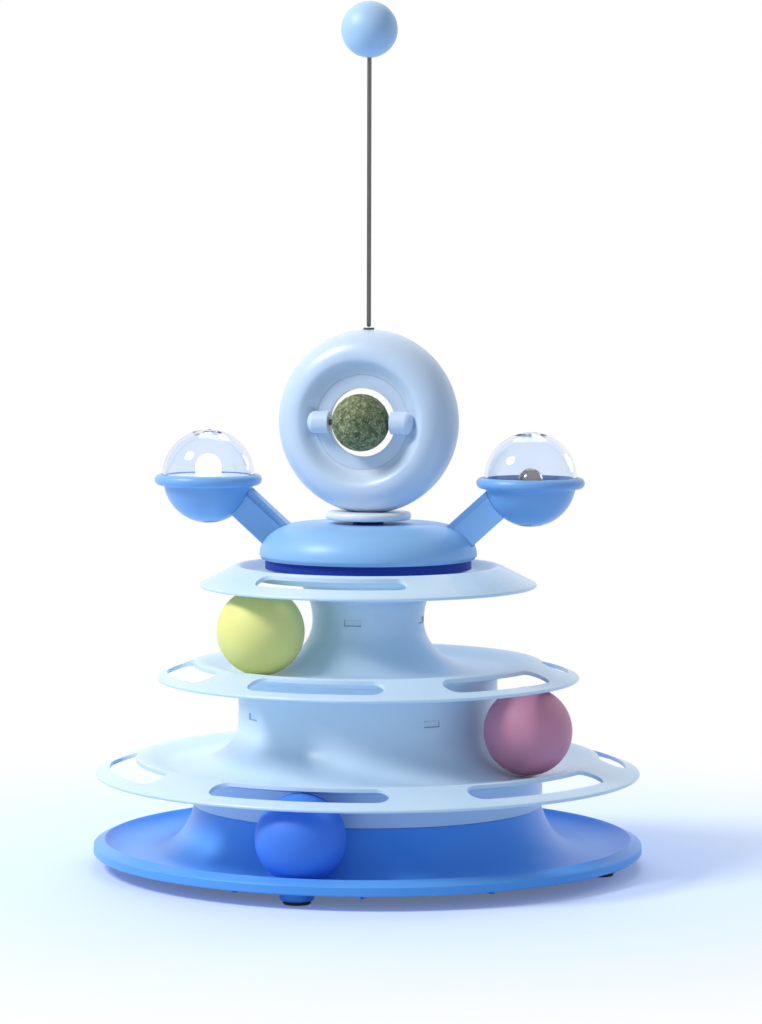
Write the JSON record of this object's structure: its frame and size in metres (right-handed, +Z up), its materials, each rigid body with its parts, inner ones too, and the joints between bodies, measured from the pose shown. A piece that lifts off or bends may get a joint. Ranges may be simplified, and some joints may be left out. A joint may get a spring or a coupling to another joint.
{
  "type": "cat ball track toy",
  "caption": "Stacked round tray tower with a ball in each open track, a spinning two-armed hub with domed cups, and a ring with a catnip ball and a wand on top.",
  "frame": {"origin": "on the tower's axis, at the underside of the feet", "axes": "+Z up along the tower's axis; the toy's front, where the catnip ball faces, is -Y; +X to the right"},
  "size_m": [0.25, 0.25, 0.392],
  "materials": {
    "base_blue": "gloss",
    "tray_white": "gloss",
    "hub_blue": "gloss",
    "ring_lavender": "gloss",
    "part_white": "satin",
    "ball_green": "gloss",
    "ball_pink": "gloss",
    "ball_blue": "gloss",
    "wand_blue": "gloss",
    "dome_clear": "clear",
    "light_white": "satin",
    "bell_metal": "polished",
    "steel": "satin",
    "pad_rubber": "matt",
    "catnip": "matt",
    "grommet_dark": "matt",
    "washer_nylon": "matt"
  },
  "bodies": {
    "tower": {"base_tray": "base_blue", "rubber_feet": "pad_rubber", "lower_tray": "tray_white", "middle_tray": "tray_white", "top_tray": "tray_white", "spindle": "part_white", "spindle_screws": "steel", "thrust_washer": "washer_nylon", "collar": "part_white", "collar_screw": "steel", "ring_front": "ring_lavender", "ring_back": "ring_lavender", "ball_holder": "ring_lavender", "catnip_axle": "steel", "wand_grommet": "grommet_dark"},
    "rotor": {"hub_shell": "hub_blue", "hub_plate": "hub_blue", "hub_screws": "steel", "arm_left": "hub_blue", "arm_right": "hub_blue", "cup_left": "hub_blue", "cup_right": "hub_blue", "bell_dish": "tray_white", "light_base": "part_white", "light_ball": "light_white"},
    "dome_left": {"dome_left": "dome_clear"},
    "dome_right": {"dome_right": "dome_clear"},
    "bell": {"bell_shell": "bell_metal"},
    "pea": {"bell_pea": "steel"},
    "catnip": {"catnip_ball": "catnip"},
    "wand": {"wand_wire": "steel", "wand_ball": "wand_blue"},
    "base_ball": {"base_ball": "ball_blue"},
    "lower_ball": {"lower_ball": "ball_pink"},
    "middle_ball": {"middle_ball": "ball_green"}
  },
  "joints": [
    {"name": "hub_spin", "type": "hinge", "parent": "tower", "child": "rotor", "pos_m": [0, 0, 0.147], "axis": [0, 0, 1], "continuous": true},
    {"name": "base_ball_run", "type": "hinge", "parent": "tower", "child": "base_ball", "pos_m": [0, 0, 0.02735], "axis": [0, 0, 1], "continuous": true},
    {"name": "lower_ball_run", "type": "hinge", "parent": "tower", "child": "lower_ball", "pos_m": [0, 0, 0.06705], "axis": [0, 0, 1], "continuous": true},
    {"name": "middle_ball_run", "type": "hinge", "parent": "tower", "child": "middle_ball", "pos_m": [0, 0, 0.10965], "axis": [0, 0, 1], "continuous": true},
    {"name": "catnip_spin", "type": "hinge", "parent": "tower", "child": "catnip", "pos_m": [0, -0.013, 0.2025], "axis": [1, 0, 0], "continuous": true},
    {"name": "wand_sway", "type": "hinge", "parent": "tower", "child": "wand", "pos_m": [0, 0, 0.2463], "axis": [0, 1, 0], "range_deg": [-30, 30], "stiffness_Nm_per_rad": 0.35},
    {"name": "dome_left_lift", "type": "slide", "parent": "rotor", "child": "dome_left", "axis": [0, 0, 1], "range_m": [0, 0.012]},
    {"name": "dome_right_lift", "type": "slide", "parent": "rotor", "child": "dome_right", "axis": [0, 0, 1], "range_m": [0, 0.012]},
    {"name": "bell_roll", "type": "hinge", "parent": "rotor", "child": "bell", "pos_m": [0.07318, 0.01029, 0.22435], "axis": [-0.1392, 0.9903, 0], "range_deg": [-14, 14]},
    {"name": "pea_roll", "type": "hinge", "parent": "bell", "child": "pea", "pos_m": [0.07318, 0.01029, 0.1763], "axis": [0.9903, 0.1392, 0], "range_deg": [-30, 30]}
  ]
}
